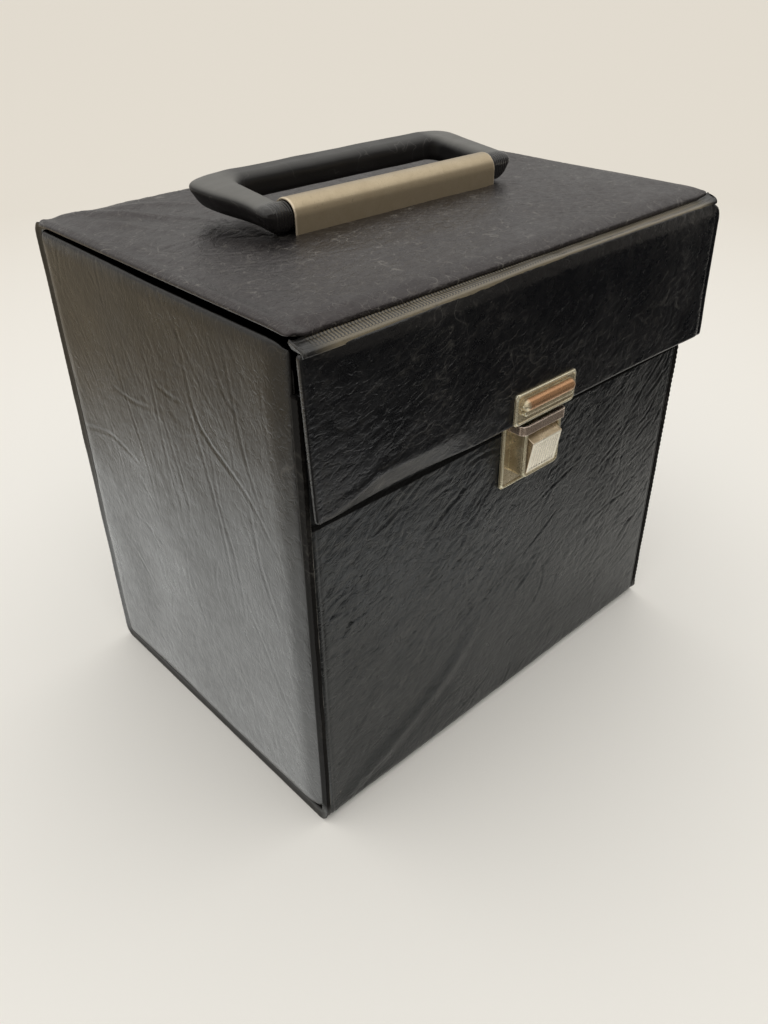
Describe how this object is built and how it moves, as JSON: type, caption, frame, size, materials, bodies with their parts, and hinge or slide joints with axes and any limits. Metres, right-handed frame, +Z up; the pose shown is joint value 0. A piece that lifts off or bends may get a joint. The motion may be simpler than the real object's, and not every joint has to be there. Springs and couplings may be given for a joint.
{
  "type": "carrying case",
  "caption": "Upright black vinyl-covered board case with a rear-hinged lid, a hanging front flap, a sprung tuck lock and a bail handle in a brass sleeve.",
  "frame": {"origin": "centre of the box's underside, on the surface that it stands on", "axes": "+Z up, -Y towards the flap and the lock, +X to the right seen from the front"},
  "size_m": [0.21, 0.1642, 0.2168],
  "materials": {
    "vinyl": "black PVC leathercloth, creased grain, semi-gloss",
    "greyboard": "raw greyboard, matt",
    "lining": "thin vinyl lining, fine grain, matt",
    "handle_plastic": "moulded black plastic, satin gloss, worn",
    "sleeve_brass": "aged brass-plated sheet, satin",
    "strike_brass": "aged brass plate, worn to copper on the grip",
    "lock_brass": "aged brass plate, satin",
    "collar_brass": "tarnished brass band, purple-brown",
    "button_nickel": "worn nickel plate with upright ribs",
    "steel": "bright zinc-plated steel"
  },
  "bodies": {
    "case": {"bottom_board": "greyboard", "bottom_cover": "vinyl", "bottom_lining": "lining", "front_board": "greyboard", "front_cover": "vinyl", "front_lining": "lining", "back_board": "greyboard", "back_cover": "vinyl", "back_lining": "lining", "left_side_board": "greyboard", "left_side_cover": "vinyl", "left_side_lining": "lining", "right_side_board": "greyboard", "right_side_cover": "vinyl", "right_side_lining": "lining", "left_edge_bead": "vinyl", "right_edge_bead": "vinyl", "lock_base_plate": "lock_brass", "lock_housing": "lock_brass", "lock_collar": "collar_brass", "lock_rivets": "steel", "lock_backing_plate": "steel", "lock_spring": "steel", "button_pin": "steel"},
    "lock_button": {"lock_button": "button_nickel"},
    "lid": {"lid_board": "greyboard", "lid_cover": "vinyl", "lid_lining": "lining", "rear_hinge_strip": "vinyl", "handle_bracket": "sleeve_brass", "handle_backing_plate": "steel"},
    "flap": {"flap_board": "greyboard", "flap_cover": "vinyl", "flap_lining": "lining", "crease_strip": "vinyl", "strike_plate": "strike_brass", "strike_rivets": "steel", "strike_backing_plate": "steel"},
    "handle": {"handle": "handle_plastic"}
  },
  "joints": [
    {"name": "lid_hinge", "type": "hinge", "parent": "case", "child": "lid", "pos_m": [0, 0.0766, 0.1979], "axis": [-1, 0, 0], "range_deg": [0, 105], "deforming": ["rear_hinge_strip"]},
    {"name": "flap_hinge", "type": "hinge", "parent": "lid", "child": "flap", "pos_m": [0, -0.0806, 0.1992], "axis": [-1, 0, 0], "range_deg": [0, 170], "deforming": ["crease_strip"]},
    {"name": "handle_hinge", "type": "hinge", "parent": "lid", "child": "handle", "pos_m": [0, -0.006, 0.2075], "axis": [1, 0, 0], "range_deg": [0, 160]},
    {"name": "button_hinge", "type": "hinge", "parent": "case", "child": "lock_button", "pos_m": [0, -0.0826, 0.1224], "axis": [-1, 0, 0], "range_deg": [0, 10], "stiffness_Nm_per_rad": 0.16, "springref_deg": -11.46, "deforming": ["lock_spring"]}
  ]
}
